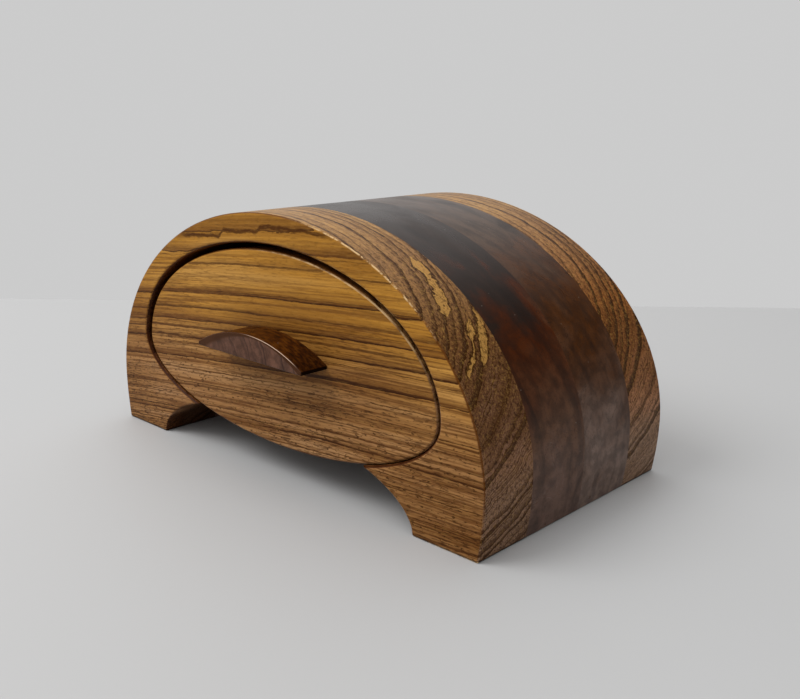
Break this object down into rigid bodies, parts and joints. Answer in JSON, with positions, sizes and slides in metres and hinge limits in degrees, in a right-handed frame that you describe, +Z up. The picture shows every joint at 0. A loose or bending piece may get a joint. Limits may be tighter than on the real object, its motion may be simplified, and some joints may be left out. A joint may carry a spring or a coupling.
{
  "type": "wooden drawer box",
  "caption": "Arched box of striped and dark wood in layers; an oval drawer slides out by a half-moon pull, and a tipping floor in it hides a shallow well.",
  "frame": {"origin": "on the floor under the middle of the whole box, pull included", "axes": "+X along the box's width, to the viewer's right when facing the drawer; +Y from the drawer face to the back panel; +Z up"},
  "size_m": [0.211, 0.1248, 0.104],
  "materials": {
    "zebrawood": "satin oil, dark stripes",
    "walnut": "satin oil",
    "dowel_wood": "bare",
    "brass": "drawn"
  },
  "bodies": {
    "carcass": {"front_slab": "zebrawood", "core_board_front": "walnut", "core_board_rear": "walnut", "rear_slab": "zebrawood", "back_panel": "zebrawood"},
    "drawer": {"drawer_front": "zebrawood", "drawer_slab_front": "zebrawood", "drawer_core_front": "walnut", "drawer_core_rear": "walnut", "drawer_slab_rear": "zebrawood", "drawer_back": "zebrawood", "drawer_pull": "walnut", "pull_dowels": "dowel_wood"},
    "hidden_floor": {"false_floor": "walnut", "pivot_pins": "brass"}
  },
  "joints": [
    {"name": "drawer_slide", "type": "slide", "parent": "carcass", "child": "drawer", "axis": [0, -1, 0], "range_m": [0, 0.085]},
    {"name": "floor_tip", "type": "hinge", "parent": "drawer", "child": "hidden_floor", "pos_m": [0, 0.02075, 0.03295], "axis": [-1, 0, 0], "range_deg": [0, 13]}
  ]
}
